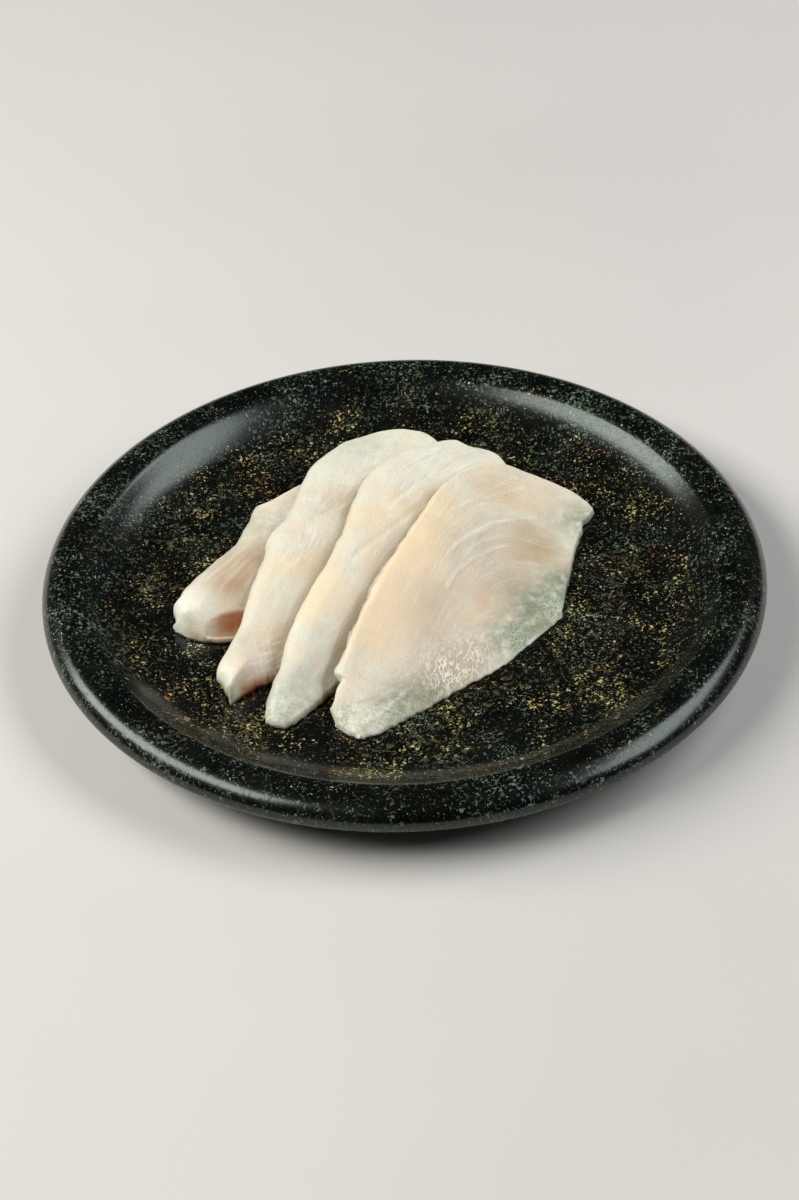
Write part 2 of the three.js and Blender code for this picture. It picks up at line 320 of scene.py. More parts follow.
@dataclass(frozen=True)
class PolishedGranite:
    """Dark green granite, lathe-turned and polished.

    The eye gets an almost black ground with a cold gloss, clouded with dark green, and sown
    with irregular flakes that gather in patches: grey-green on the rim, golden brown in the
    dish.
    """

    ground: tuple[str, str, str] = ("#030403", "#0a0d0a", "#171d17")
    clouds: Pattern = Pattern(9.0, detail=7.0, roughness=0.75)
    dish_radius_mm: tuple[float, float] = (60.0, 66.0)
    minerals: tuple[Mineral, ...] = (
        Mineral(1.0, 14.0, 0.92, 0.92, ("#0c0e09", "#20241a", "#42462f"), 0.0),
        Mineral(0.7, 12.0, 0.92, 0.97, ("#111a13", "#2d4032", "#637868"), 19.0),
        Mineral(0.65, 8.0, 1.05, 0.955, ("#22200f", "#71693a", "#bcb07c"), 37.0),
        Mineral(0.65, 9.0, 1.10, 1.02, ("#3a240d", "#925e2b", "#cc9250"), 71.0),
        Mineral(0.45, 7.0, 1.03, 1.03, ("#30362c", "#80867a", "#d4d5c2"), 89.0),
    )
    gathering: float = 0.65
    flake_edge: float = 0.1
    flake_core: float = 0.14
    roughness: float = 0.22
    flake_roughness: float = 0.34
    ior: float = 1.54
    gloss_tint: str = "#e8f8f0"
    # The pits that polishing leaves are finer than this: they are drawn as coarse as shows.
    pits: Pattern = Pattern(0.625, detail=3.0)
    pit_depth_mm: float = 0.03

    def sow(self, tree: bpy.types.NodeTree, place: bpy.types.NodeSocket,
            dish: bpy.types.NodeSocket, mineral: Mineral, ground: bpy.types.NodeSocket,
            ) -> tuple[bpy.types.NodeSocket, bpy.types.NodeSocket]:
        """Sows the flakes of one mineral over a ground colour.

        Args:
            tree: The material's node tree.
            place: Position in millimetres.
            dish: 1 inside the dish and 0 on the rim.
            mineral: The mineral.
            ground: The colour between its flakes.

        Returns:
            The new colour, and the mask of the flakes.
        """
        moved = add(tree, "ShaderNodeVectorMath", {0: place, 1: (mineral.offset,) * 3},
                    operation="ADD").outputs[0]
        flakes = Pattern(mineral.size_mm, detail=1.0, roughness=0.6, distortion=0.8)
        crowd = Pattern(mineral.cluster_mm, roughness=0.7)
        gathered = add(tree, "ShaderNodeMath",
                       {0: crowd.draw(tree, moved), 1: self.gathering,
                        2: flakes.draw(tree, moved)}, operation="MULTIPLY_ADD")
        level = add(tree, "ShaderNodeMapRange",
                    {0: dish, 1: 0.0, 2: 1.0, 3: mineral.rim, 4: mineral.dish})
        excess = add(tree, "ShaderNodeMath", {0: gathered.outputs[0], 1: level.outputs[0]},
                     operation="SUBTRACT")
        mask, core = (add(tree, "ShaderNodeMapRange",
                          {0: excess.outputs[0], 1: 0.0, 2: full, 3: 0.0, 4: 1.0}).outputs[0]
                      for full in (self.flake_edge, self.flake_core))
        tint = add(tree, "ShaderNodeValToRGB", {0: core},
                   ramp=list(zip((0.0, 0.45, 1.0), mineral.tints)))
        laid = add(tree, "ShaderNodeMix", {0: mask, 6: ground, 7: tint.outputs[0]},
                   data_type="RGBA")
        return laid.outputs[2], mask

    def build(self) -> bpy.types.Material:
        """Builds the material.

        Returns:
            The polished granite.
        """
        material, tree, shader = new_material("polished_green_granite")
        place = millimetres(tree)
        flat = add(tree, "ShaderNodeVectorMath", {0: place, 1: (1, 1, 0)},
                   operation="MULTIPLY")
        radius = add(tree, "ShaderNodeVectorMath", {0: flat.outputs[0]}, operation="LENGTH")
        inner, outer = self.dish_radius_mm
        dish = add(tree, "ShaderNodeMapRange",
                   {0: radius.outputs["Value"], 1: inner, 2: outer, 3: 1.0, 4: 0.0})

        colour = add(tree, "ShaderNodeValToRGB", {0: self.clouds.draw(tree, place)},
                     ramp=list(zip((0.38, 0.55, 0.74), self.ground))).outputs[0]
        flakes = 0.0
        for mineral in self.minerals:
            colour, mask = self.sow(tree, place, dish.outputs[0], mineral, colour)
            flakes = add(tree, "ShaderNodeMath", {0: flakes, 1: mask},
                         operation="MAXIMUM").outputs[0]
        tree.links.new(colour, shader.inputs["Base Color"])

        polish = add(tree, "ShaderNodeMapRange",
                     {0: flakes, 1: 0.0, 2: 1.0, 3: self.roughness, 4: self.flake_roughness})
        tree.links.new(polish.outputs[0], shader.inputs["Roughness"])
        shader.inputs["IOR"].default_value = self.ior
        shader.inputs["Specular Tint"].default_value = linear(self.gloss_tint)

        height = add(tree, "ShaderNodeMath", {0: self.pits.draw(tree, place), 1: flakes},
                     operation="ADD")
        bump = add(tree, "ShaderNodeBump",
                   {"Height": height.outputs[0], "Strength": 0.3,
                    "Distance": self.pit_depth_mm * MM})
        tree.links.new(bump.outputs[0], shader.inputs["Normal"])
        return material


@dataclass(frozen=True)
class Stain:
    """A colour that lies over the flesh inside one tone, or all over where tone is None.

    Its share grows from 0 to most as the named pattern goes from low to high.
    """

    colour: str
    pattern: str
    low: float
    high: float
    tone: Tone | None
    most: float


@dataclass(frozen=True)
class RawWhiteFish:
    """Raw white fish, cut with a long knife.

    The eye gets moist, milky flesh: cream where it is thick, with peach clouds and pale fibres,
    a cool grey-green and half clear where it thins out over the dark stone, and frosty where the
    knife has torn it. Tan also paints shade in the valleys beside each next slice and on sides
    turned from the light, and white paints glints on streaks, in one spot and as a highlight
    along the cut rim.
    """

    cream: str = "#eaebda"
    beige: str = "#ecdcc1"
    peach: str = "#fce3ba"
    # White of the fibres, also laid on streaks as painted moist glints.
    fibre_and_glint_white: str = "#fdfcf4"
    green_grey: str = "#7b8a70"
    # Frosty white of torn flesh and strands, also used for the painted highlight along the rim.
    frost_and_glint_white: str = "#f0f5e8"
    # Milky white of the flesh, also used for a painted glint.
    milk_and_glint: str = "#eef3e4"
    # Tan of the flesh and its grain, also used as painted shade.
    tan: str = "#ab845d"
    muscle: str = "#cdb29c"
    membrane: str = "#b5a58c"
    rust: str = "#b9622c"
    cloud: Pattern = Pattern(9.1, roughness=0.6)
    mottle: Pattern = Pattern(2.5, roughness=0.55)
    grit: Pattern = Pattern(0.45, detail=3.0)
    wool: Pattern = Pattern(1.176, detail=1.0, distortion=1.4, stretch=(1.0, 0.4, 0.4))
    streaks: Pattern = Pattern(0.667, distortion=0.4, stretch=(1.0, 0.14, 1.0))
    bundles: Pattern = Pattern(1.0, roughness=0.6, distortion=0.6, stretch=(0.45, 0.06, 0.45))
    # Muscle fibres are 0.1 to 0.3 mm wide: they are drawn as coarse as shows.
    fibres: Pattern = Pattern(0.75, roughness=0.62, distortion=0.5, stretch=(1.0, 0.13, 1.0))
    roughness: tuple[float, float] = (0.28, 0.48)
    ior: float = 1.38
    gloss: float = 0.3
    scatter: float = 0.55
    scatter_mm: float = 1.3
    scatter_tint: tuple[float, float, float] = (1.0, 0.75, 0.5)
    moisture: float = 0.2
    moisture_roughness: float = 0.16
    bump_mm: float = 0.4

    def stains(self) -> tuple[Stain, ...]:
        """Lists the stains in the order in which they lie."""
        return (
            Stain(self.beige, "mottle", 0.42, 0.66, None, 0.5),
            Stain(self.tan, "grit", 0.5, 0.34, None, 0.12),
            Stain(self.peach, "mottle", -0.1, 0.5, Tone.PEACH, 0.85),
            # Tan over the bundles: painted shade in valleys and on sides turned from the light,
            # and tan flesh.
            Stain(self.tan, "bundles", 0.0, 0.55, Tone.TAN, 0.95),
            Stain(self.muscle, "streaks", 0.62, 0.36, Tone.MUSCLE, 0.9),
            # White streaks on the front slope: pale fibres that also stand for painted glints.
            Stain(self.fibre_and_glint_white, "streaks", 0.50, 0.62, Tone.MUSCLE, 2.2),
            # Milky white flesh, and in one spot a painted glint.
            Stain(self.milk_and_glint, "mottle", 0.0, 0.4, Tone.MILKY_AND_GLINT, 0.9),
            Stain(self.green_grey, "mottle", 0.2, 0.55, Tone.COOL, 0.9),
            # Frost white: torn flesh and strands, and the painted highlight along the cut rim.
            Stain(self.frost_and_glint_white, "grit", 0.42, 0.62, Tone.FROST_AND_GLINT, 0.75),
            Stain(self.muscle, "fibres", 0.46, 0.34, Tone.FIBROUS, 0.22),
            Stain(self.fibre_and_glint_white, "fibres", 0.56, 0.70, Tone.FIBROUS, 0.8),
            Stain(self.membrane, "wool", 0.0, 0.2, Tone.WOOLLY, 0.85),
            Stain(self.fibre_and_glint_white, "strand", 0.0, 1.0, Tone.WOOLLY, 0.9),
            Stain(self.rust, "mottle", 0.25, 0.5, Tone.RUST, 1.0),
        )

    def patterns(self, tree: bpy.types.NodeTree) -> dict[str, bpy.types.NodeSocket]:
        """Draws the patterns of the flesh.

        Args:
            tree: The material's node tree.

        Returns:
            The value of each pattern, by name.
        """
        place = millimetres(tree)
        grain, facet = (add(tree, "ShaderNodeAttribute", attribute_name=name).outputs["Vector"]
                        for name in ("grain", "facet"))
        drawn = {"cloud": self.cloud.draw(tree, place), "mottle": self.mottle.draw(tree, place),
                 "grit": self.grit.draw(tree, place), "wool": self.wool.draw(tree, place),
                 "streaks": self.streaks.draw(tree, facet),
                 "bundles": self.bundles.draw(tree, grain),
                 "fibres": self.fibres.draw(tree, grain)}
        drawn["strand"] = add(tree, "ShaderNodeMath", {0: drawn["wool"], 1: 0.5, 2: 0.05},
                              operation="COMPARE").outputs[0]
        return drawn

    def dyed(self, tree: bpy.types.NodeTree, drawn: dict[str, bpy.types.NodeSocket],
             tones: dict[Tone, bpy.types.NodeSocket]) -> bpy.types.NodeSocket:
        """Lays the stains over the plain flesh.

        Args:
            tree: The material's node tree.
            drawn: The patterns.
            tones: The mesh's fields.

        Returns:
            The colour.
        """
        colour = add(tree, "ShaderNodeValToRGB", {0: drawn["cloud"]},
                     ramp=[(0.42, self.cream), (0.72, self.beige)]).outputs[0]
        for stain in self.stains():
            strength = add(tree, "ShaderNodeMapRange",
                           {0: drawn[stain.pattern], 1: stain.low, 2: stain.high, 3: 0.0,
                            4: stain.most})
            share = add(tree, "ShaderNodeMath",
                        {0: strength.outputs[0], 1: tones.get(stain.tone, 1.0)},
                        operation="MULTIPLY")
            colour = add(tree, "ShaderNodeMix",
                         {0: share.outputs[0], 6: colour, 7: linear(stain.colour)},
                         data_type="RGBA").outputs[2]
        return colour

    def roughened(self, tree: bpy.types.NodeTree, drawn: dict[str, bpy.types.NodeSocket],
                  tones: dict[Tone, bpy.types.NodeSocket]) -> bpy.types.NodeSocket:
        """Raises fibres, grit and woolly strands a little.

        Args:
            tree: The material's node tree.
            drawn: The patterns.
            tones: The mesh's fields.

        Returns:
            The bumped normal.
        """
        stringy = add(tree, "ShaderNodeMath", {0: tones[Tone.FIBROUS], 1: 1.2, 2: 0.1},
                      operation="MULTIPLY_ADD")
        gritty = add(tree, "ShaderNodeMath", {0: drawn["grit"], 1: 0.55}, operation="MULTIPLY")
        flesh = add(tree, "ShaderNodeMath",
                    {0: drawn["fibres"], 1: stringy.outputs[0], 2: gritty.outputs[0]},
                    operation="MULTIPLY_ADD")
        height = add(tree, "ShaderNodeMath",
                     {0: drawn["strand"], 1: tones[Tone.WOOLLY], 2: flesh.outputs[0]},
                     operation="MULTIPLY_ADD")
        return add(tree, "ShaderNodeBump",
                   {"Height": height.outputs[0], "Strength": 0.7,
                    "Distance": self.bump_mm * MM}).outputs[0]

    def build(self) -> bpy.types.Material:
        """Builds the material.

        Returns:
            The raw fish flesh.
        """
        material, tree, shader = new_material("raw_white_fish_cut")
        drawn = self.patterns(tree)
        tones = {tone: add(tree, "ShaderNodeAttribute", attribute_name=tone.value)
                 .outputs["Fac"] for tone in Tone}
        tree.links.new(self.dyed(tree, drawn, tones), shader.inputs["Base Color"])
        tree.links.new(self.roughened(tree, drawn, tones), shader.inputs["Normal"])
        wet, dry = self.roughness
        moist = add(tree, "ShaderNodeMapRange",
                    {0: drawn["mottle"], 1: 0.35, 2: 0.65, 3: wet, 4: dry})
        tree.links.new(moist.outputs[0], shader.inputs["Roughness"])
        shader.inputs["IOR"].default_value = self.ior
        shader.inputs["Specular IOR Level"].default_value = self.gloss
        shader.inputs["Coat Weight"].default_value = self.moisture
        shader.inputs["Coat Roughness"].default_value = self.moisture_roughness
        shader.inputs["Subsurface Weight"].default_value = self.scatter
        shader.inputs["Subsurface Radius"].default_value = self.scatter_tint
        shader.inputs["Subsurface Scale"].default_value = self.scatter_mm * MM
        return material


@dataclass(frozen=True)
class PaleTable:
    """A matt painted board, rolled on: a plain pale ground with a faint mottle."""

    pale: str = "#cfcdc8"
    paler: str = "#d7d5d0"
    roughness: float = 0.8

    def build(self) -> bpy.types.Material:
        """Builds the material.

        Returns:
            The matt board.
        """
        material, tree, shader = new_material("matt_painted_board")
        mottle = add(tree, "ShaderNodeTexNoise", {"Scale": 30.0, "Detail": 4.0})
        paint = add(tree, "ShaderNodeValToRGB", {0: mottle.outputs["Fac"]},
                    ramp=[(0.3, self.pale), (0.7, self.paler)])
        tree.links.new(paint.outputs[0], shader.inputs["Base Color"])
        shader.inputs["Roughness"].default_value = self.roughness
        return material


# ------------------------------------------------------------------ the plate


@dataclass
class StonePlate:
    """The turned plate: its section in millimetres and degrees, and how finely it is cut."""

    radius: float = 75.0
    height: float = 14.0
    floor_height: float = 7.5
    shoulder_radius: float = 5.0
    shoulder_turn: float = 60.0
    edge_radius: float = 2.5
    crown_width: float = 3.3
    crown_slope: float = 12.0
    lip_radius: float = 4.0
    wall_slope: float = 42.0
    fillet_radius: float = 16.0
    undercut: float = 60.0
    foot_radius: float = 58.0
    foot_round: float = 2.0
    foot_turn: float = 50.0
    segments: int = 320
    finish: PolishedGranite = field(default_factory=PolishedGranite)

    @staticmethod
    def arc(centre: tuple[float, float], radius: float, start: float, end: float,
            pieces: int) -> Array:
        """Points of an arc in the plane of radius and height.

        Args:
            centre: Its centre.
            radius: Its radius.
            start: First angle in degrees, 0 pointing outwards and 90 up.
            end: Last angle.
            pieces: How many chords.

        Returns:
            One row for each point.
        """
        angles = np.radians(np.linspace(start, end, pieces + 1))
        return np.c_[centre[0] + radius * np.cos(angles), centre[1] + radius * np.sin(angles)]

    def section(self) -> Array:
        """Works out the section from the axis outwards over the top and back underneath.

        Returns:
            Radius and height of each point.
        """
        wall, crown_turn = math.radians(self.wall_slope), math.radians(self.crown_slope)
        turn, tighter = math.radians(self.shoulder_turn), self.shoulder_radius - self.edge_radius
        top = (self.radius - self.edge_radius - tighter * math.sin(turn),
               self.height - self.shoulder_radius)
        edge = (top[0] + tighter * math.sin(turn), top[1] + tighter * math.cos(turn))
        crown_radius = self.crown_width / math.sin(crown_turn)
        crown = self.arc((top[0], self.height - crown_radius), crown_radius,
                         90 + self.crown_slope, 90, 8)
        lip_centre = (crown[0, 0] + self.lip_radius * math.sin(crown_turn),
                      crown[0, 1] - self.lip_radius * math.cos(crown_turn))
        lip = self.arc(lip_centre, self.lip_radius, 90 + self.wall_slope,
                       90 + self.crown_slope, 10)
        wall_foot = self.floor_height + self.fillet_radius * (1 - math.cos(wall))
        wall_run = (lip[0, 1] - wall_foot) / math.tan(wall)
        floor_radius = lip[0, 0] - wall_run - self.fillet_radius * math.sin(wall)
        fillet = self.arc((floor_radius, self.floor_height + self.fillet_radius),
                          self.fillet_radius, -90, -90 + self.wall_slope, 14)
        shoulder = self.arc(top, self.shoulder_radius, 90, 90 - self.shoulder_turn, 12)
        rim = self.arc(edge, self.edge_radius, 90 - self.shoulder_turn, -self.undercut, 12)
        foot = self.arc((self.foot_radius, self.foot_round), self.foot_round,
                        self.foot_turn - 90, -90, 6)
        floor = np.c_[np.linspace(0, floor_radius, 12)[:-1], np.full(11, self.floor_height)]
        under = np.c_[np.linspace(self.foot_radius, 0, 8)[1:], np.zeros(7)]
        flank = np.linspace(rim[-1], foot[0], 6)[1:-1]
        return np.vstack([floor, fillet, lip, crown[1:], shoulder[1:], rim[1:], flank, foot,
                          under])

    def build(self) -> bpy.types.Object:
        """Turns the plate.

        Returns:
            The plate's object.
        """
        section = self.section()
        inner = section[1:-1]
        turn = np.linspace(0, 2 * math.pi, self.segments, endpoint=False)
        ring = np.stack([np.cos(turn), np.sin(turn)], 1)
        body = np.concatenate([inner[:, None, :1] * ring, np.broadcast_to(
            inner[:, None, 1:], (len(inner), self.segments, 1))], axis=2).reshape(-1, 3)
        top, bottom = len(body), len(body) + 1
        points = np.vstack([body, [0, 0, section[0, 1]], [0, 0, section[-1, 1]]])
        rows = np.arange(len(inner) - 1)[:, None] * self.segments
        here = np.arange(self.segments)
        after = (here + 1) % self.segments
        quads = np.stack([rows + here, rows + self.segments + here,
                          rows + self.segments + after, rows + after], -1).reshape(-1, 4)
        last = (len(inner) - 1) * self.segments
        faces = quads.tolist()
        faces += np.stack([np.full(self.segments, top), here, after], 1).tolist()
        faces += np.stack([np.full(self.segments, bottom), last + after, last + here],
                          1).tolist()
        piece = mesh_piece("turned_plate", points, faces, self.finish.build())
        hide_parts("plate")
        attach(piece, BODY)
        LOG.info("plate: %d points", len(points))
        return piece


# ------------------------------------------------------------------ laying soft slices


@dataclass(frozen=True)
class Laying:
    """How soft slices settle: the same numbers, in millimetres, as the solids have."""

    gap: float = 0.3
    cell: float = 1.0
    reach: float = 56.0
    load: float = 0.018
    steps: int = 1200
    softening: int = 40

    @property
    def side(self) -> int:
        """Cells along each side of the height grid."""
        return round(2 * self.reach / self.cell) + 1

    def cells(self, x: Array) -> Array:
        """Turns a coordinate to cells of the grid."""
        return (x + self.reach) / self.cell

    def read(self, heights: Array, x: Array, y: Array) -> Array:
        """Reads a height grid smoothly, with a cubic B-spline.

        Args:
            heights: The grid, indexed by y and x.
            x: Places to read.
            y: Places to read.

        Returns:
            The heights there.
        """
        cx, cy = self.cells(x), self.cells(y)
        i, j = np.floor(cx).astype(int), np.floor(cy).astype(int)
        wx, wy = self.weights(cx - i), self.weights(cy - j)
        total = np.zeros(np.shape(x))
        for b in range(4):
            for a in range(4):
                total += wy[b] * wx[a] * heights[j + b - 1, i + a - 1]
        return total

    @staticmethod
    def weights(t: Array) -> list[Array]:
        """The four weights of a cubic B-spline at fraction t of a cell."""
        return [(1 - t) ** 3 / 6, (3 * t ** 3 - 6 * t ** 2 + 4) / 6,
                (-3 * t ** 3 + 3 * t ** 2 + 3 * t + 1) / 6, t ** 3 / 6]

    def raised(self, heights: Array, points: Array) -> Array:
        """Raises the cells nearest to points up to them.

        Args:
            heights: The grid.
            points: x, y and z, one row each, closer together than the cells.

        Returns:
            The raised grid.
        """
        out = heights.copy()
        i = np.rint(self.cells(points[:, 0])).astype(int)
        j = np.rint(self.cells(points[:, 1])).astype(int)
        np.maximum.at(out, (j, i), points[:, 2])
        return out

    @staticmethod
    def widened(heights: Array) -> Array:
        """Gives each cell the highest value around it.

        Args:
            heights: The grid.

        Returns:
            The widened grid.
        """
        out = heights.copy()
        for dj in (-1, 0, 1):
            for di in (-1, 0, 1):
                out = np.maximum(out, np.roll(heights, (dj, di), (0, 1)))
        return out

    def relaxed(self, start: Array, covered: Array, steps: int, load: float,
                support: Array) -> Array:
        """Relaxes a sheet over its covered cells, with free borders.

        Args:
            start: The sheet's first heights.
            covered: True where there is a sheet.
            steps: How many times each cell takes the mean of its neighbours.
            load: How far a cell drops at each step.
            support: What it can't sink below.

        Returns:
            The settled heights.
        """
        sheet = start.copy()
        moves = ((0, 1), (0, -1), (1, 0), (-1, 0))
        there = [np.roll(covered, move, (0, 1)) for move in moves]
        for _ in range(steps):
            total = np.zeros_like(sheet)
            for move, known in zip(moves, there):
                total += np.where(known, np.roll(sheet, move, (0, 1)), sheet)
            sheet = np.where(covered, np.maximum(total / 4 - load, support), sheet)
        return sheet


class Side:
    """One side of a slice's outline: a smooth curve through its points, by arc length."""

    def __init__(self, points: Points) -> None:
        """Measures the curve.

        Args:
            points: Places from above that it runs through.
        """
        self.points = np.asarray(points, float)
        self.t = np.linspace(0, 1, 40 * len(points) + 1)
        steps = np.linalg.norm(np.diff(self.raw(self.t), axis=0), axis=1)
        reach = np.r_[0, np.cumsum(steps)]
        self.length = float(reach[-1])
        self.share = reach / self.length

    def raw(self, t: Array) -> Array:
        """Points of the Catmull-Rom curve.

        Args:
            t: The curve's own parameter, from 0 to 1.

        Returns:
            x and y, one row each.
        """
        p, n = self.points, len(self.points)
        x = np.clip(t, 0, 1) * (n - 1)
        i = np.minimum(x.astype(int), n - 2)
        w = (x - i)[:, None]
        p1, p2 = p[i], p[i + 1]
        v0 = (p2 - p[np.maximum(i - 1, 0)]) / 2
        v1 = (p[np.minimum(i + 2, n - 1)] - p1) / 2
        cubic = (2 * p1 - 2 * p2 + v0 + v1) * w ** 3
        square = (-3 * p1 + 3 * p2 - 2 * v0 - v1) * w ** 2
        return cubic + square + v0 * w + p1

    def at(self, share: Array) -> Array:
        """Points of the curve at shares of its length."""
        return self.raw(np.interp(share, self.share, self.t))


@dataclass(frozen=True)
class Gape:
    """A folded front end that gapes under an arch.

    start, end and cheek are millimetres along the front edge, lip_end, hollow_start and depth
    inwards from it, lip and hollow are thicknesses, and wall is the share of the depth where
    the wall under the arch starts.
    """

    start: float = 6.5
    end: float = 27.0
    cheek: float = 6.0
    lip: float = 1.0
    hollow: float = 0.7
    lip_end: float = 0.5
    hollow_start: float = 1.2
    wall: float = 0.3
    depth: float = 4.4

    def opened(self, full: Array, along: Array, inwards: Array) -> tuple[Array, Array]:
        """Opens the thickness into a lip, a hollow and a wall.

        Args:
            full: The thickness of a closed end.
            along: Distance along the front edge.
            inwards: Distance from the front edge.

        Returns:
            The new thickness, and how far each place is in the hollow, from 0 to 1.
        """
        arch = quarter_round(along - self.start, self.cheek)
        arch = arch * quarter_round(self.end - along, self.cheek)
        share = inwards / np.maximum(self.depth * arch, 0.01)
        behind_lip = smoothstep(inwards, self.lip_end, self.hollow_start)
        mouth = mixed(np.minimum(full, self.lip), np.minimum(full, self.hollow), behind_lip)
        section = mixed(mouth, full, smoothstep(share, self.wall, 1.0))
        inside = behind_lip * (1 - smoothstep(share, 0.85, 1.1))
        return section, inside * smoothstep(along, self.start, self.start + self.cheek)


@dataclass(frozen=True)
class Nick:
    """A bite out of one side, or a spike where the depth is negative."""

    edge: Edge
    along: float
    depth: float
    width: float


@dataclass(frozen=True)
class Fold:
    """A soft ridge along a line seen from above, or a furrow where the height is negative."""

    line: Points
    height: float
    width: float

    def relief(self, x: Array, y: Array) -> Array:
        """Height of the fold.

        Args:
            x: Places from above.
            y: Places from above.

        Returns:
            The height at each place.
        """
        nearest = np.full(np.shape(x), np.inf)
        for (x0, y0), (x1, y1) in zip(self.line, self.line[1:]):
            run = ((x - x0) * (x1 - x0) + (y - y0) * (y1 - y0)) / math.dist(
                (x0, y0), (x1, y1)) ** 2
            run = np.clip(run, 0, 1)
            away = np.hypot(x - x0 - run * (x1 - x0), y - y0 - run * (y1 - y0))
            nearest = np.minimum(nearest, away)
        return self.height * np.exp(-(nearest / self.width) ** 2)


@dataclass(frozen=True)
class Spot:
    """A soft round area, seen from above."""

    x: float
    y: float
    radius: float
    strength: float = 1.0

    def at(self, x: Array, y: Array) -> Array:
        """How strong the spot is at each place."""
        return self.strength * np.exp(-((x - self.x) ** 2 + (y - self.y) ** 2)
                                      / self.radius ** 2)


@dataclass(frozen=True)
class Waves:
    """A layer of seeded relief: its height, and how long its lumps are each way."""

    height: float
    across: float
    along: float
    shift: float = 0.0

    def at(self, noise: PlaneNoise, x: Array, y: Array) -> Array:
        """Height of the layer at each place."""
        return self.height * noise.at(x / self.across + self.shift, y / self.along)


@dataclass(frozen=True)
class CutSurface:
    """The relief that a cut through raw fish has, in millimetres.

    tear and wave move the outline, bend turns the curls of the woolly areas, and the shifts
    keep the layers apart. Tears fade to their calm share between the distances from the front
    end in calming, and rim is where the relief starts. The fibres' ribs are drawn as coarse as
    shows.
    """

    swell: Waves = Waves(0.22, 7.0, 7.0)
    ripple: Waves = Waves(0.10, 3.1, 3.1, 9.0)
    rib: Waves = Waves(0.06, 0.8, 9.0)
    plain_ribs: float = 0.25
    bundle: Waves = Waves(0.08, 2.3, 16.0, 5.0)
    bend: Waves = Waves(1.4, 2.2, 2.2, 3.0)
    curl: Waves = Waves(1.0, 1.15, 1.6)
    curl_height: float = 0.34
    crumb: Waves = Waves(0.16, 0.75, 0.75)
    strand_height: float = 0.18
    tear: Waves = Waves(0.26, 1.1, 1.0)
    wave: Waves = Waves(0.2, 2.9, 1.0, 31.0)
    tear_reach: float = 1.3
    calm: float = 0.3
    calming: tuple[float, float] = (3.0, 10.0)
    rim: tuple[float, float] = (0.1, 2.2)


@dataclass(frozen=True)
class Staining:
    """How the shape of a slice stains its flesh and where a highlight is painted on it, in
    millimetres and shares.

    It turns cool between the two thicknesses in thin, shows muscle below the two shares of the
    front slope in facet, and gets a pale painted highlight along its rim, where the cut edge
    would catch the light. A gape is tan and rusty inside, and rust reaches in from the front
    edge.
    """

    thin: tuple[float, float] = (0.5, 3.0)
    thin_cool: float = 0.35
    facet: tuple[float, float] = (0.75, 1.0)
    plain_fibres: float = 0.2
    # Width and share of the pale painted highlight along the rim.
    rim: float = 0.5
    rim_highlight_share: float = 0.35
    gape_tan: float = 0.6
    gape_rust: float = 0.7
    rust_reach: float = 0.8


def spotted(spots: tuple[Spot, ...], x: Array, y: Array) -> Array:
    """Gathers soft spots to a field from 0 to 1."""
    return np.clip(sum((spot.at(x, y) for spot in spots), np.zeros(np.shape(x))), 0, 1)


def folded(folds: tuple[Fold, ...], x: Array, y: Array) -> Array:
    """Adds up the reliefs of folds."""
    return sum((fold.relief(x, y) for fold in folds), np.zeros(np.shape(x)))


